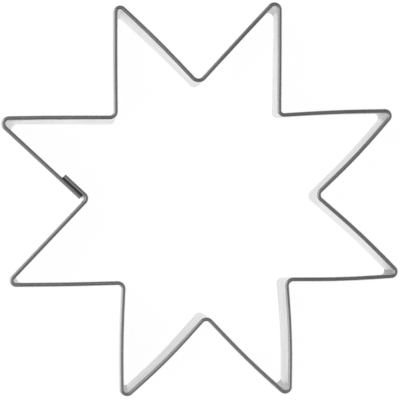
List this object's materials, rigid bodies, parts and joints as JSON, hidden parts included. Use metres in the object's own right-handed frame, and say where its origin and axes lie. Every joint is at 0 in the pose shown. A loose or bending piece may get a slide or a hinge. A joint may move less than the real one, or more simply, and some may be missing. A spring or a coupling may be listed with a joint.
{
  "type": "cookie cutter",
  "caption": "Star-shaped pastry cutter: a hemmed strip of thin sheet steel bent into a pointed star and spot-welded at its lap.",
  "frame": {"origin": "middle of the outline box of the star, on the plane of the cutting edge", "axes": "+Z from the cutting edge to the hem; +X toward the notch of the star opposite the lap"},
  "size_m": [0.0944, 0.0944, 0.02],
  "materials": {
    "sheet_steel": "bright rolled, fine lengthwise grain",
    "weld_steel": "dull, heat-tinted"
  },
  "bodies": {
    "root": {"star_band": "sheet_steel", "spot_welds": "weld_steel"}
  },
  "joints": []
}
